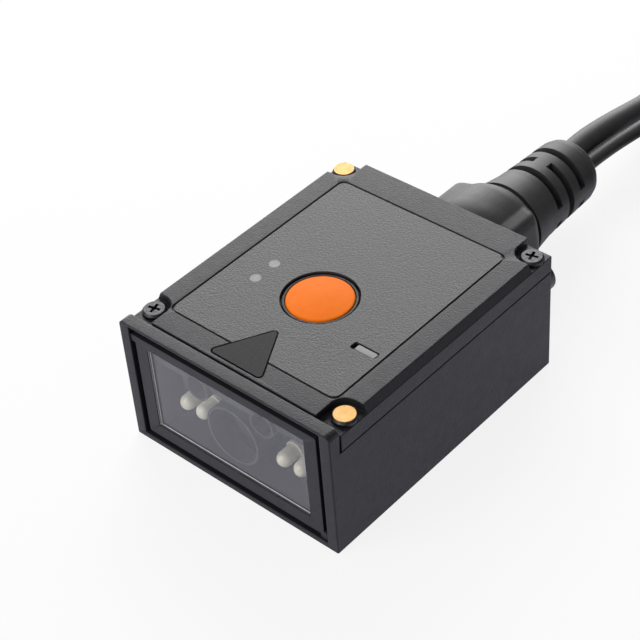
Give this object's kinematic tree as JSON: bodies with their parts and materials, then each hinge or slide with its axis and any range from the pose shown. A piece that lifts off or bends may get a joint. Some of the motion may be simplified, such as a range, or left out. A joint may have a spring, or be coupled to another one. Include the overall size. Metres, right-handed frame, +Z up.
{
  "type": "fixed barcode reader",
  "caption": "Compact fixed barcode reader: a dark plastic box with a framed scan window in front, an orange trigger button on top and a moulded plug with two coiled leads behind.",
  "frame": {"origin": "middle of the case's underside, on the surface that it stands on", "axes": "+Y from the scan window to the plug, +Z up through the trigger button, +X to the right seen from the window side"},
  "size_m": [0.0655, 0.1826, 0.0226],
  "materials": {
    "case_plastic": "fine textured",
    "label_film": "fine grained",
    "button_orange": "satin",
    "light_pipe": "frosted",
    "screw_black": "black oxide",
    "seal_copper": "satin",
    "window_clear": "polished",
    "lens_glass": "polished",
    "optics_black": "matt",
    "led_lens": "frosted",
    "board": "solder mask",
    "component_black": "matt",
    "flex": "film",
    "plated_steel": "nickel plated",
    "cable_jacket": "satin",
    "tie_black": "matt"
  },
  "bodies": {
    "reader": {"lower_case": "case_plastic", "top_cover": "case_plastic", "top_label": "label_film", "triangle_inlay": "label_film", "tact_switch": "component_black", "indicator_light_pipes": "light_pipe", "status_light_bar": "light_pipe", "cover_screws": "screw_black", "screw_seals": "seal_copper", "window_frame": "case_plastic", "scan_window": "window_clear", "optics_holder": "optics_black", "lens_barrel": "optics_black", "camera_lens": "lens_glass", "aimer_barrels": "optics_black", "aimer_lenses": "lens_glass", "illumination_leds": "led_lens", "led_board": "board", "image_sensor": "component_black", "sensor_board": "board", "sensor_flex": "flex", "main_board": "board", "main_board_screws": "plated_steel", "key_board": "board", "key_board_screws": "plated_steel", "board_connector": "component_black", "beeper": "component_black", "rear_socket": "plated_steel", "socket_standoffs": "plated_steel", "plug_shell": "plated_steel", "plug_hood": "cable_jacket", "jack_screws": "screw_black", "strain_relief": "cable_jacket", "data_lead": "cable_jacket", "data_coil": "cable_jacket", "data_tail": "cable_jacket", "data_plug_grip": "cable_jacket", "data_plug_shell": "plated_steel", "power_lead": "cable_jacket", "power_coil": "cable_jacket", "power_tail": "cable_jacket", "power_plug_grip": "cable_jacket", "power_plug_barrel": "plated_steel", "coil_ties": "tie_black"},
    "trigger": {"trigger_button": "button_orange"}
  },
  "joints": [
    {"name": "trigger_press", "type": "slide", "parent": "reader", "child": "trigger", "axis": [0, 0, -1], "range_m": [0, 0.0005], "stiffness_N_per_m": 2000}
  ]
}
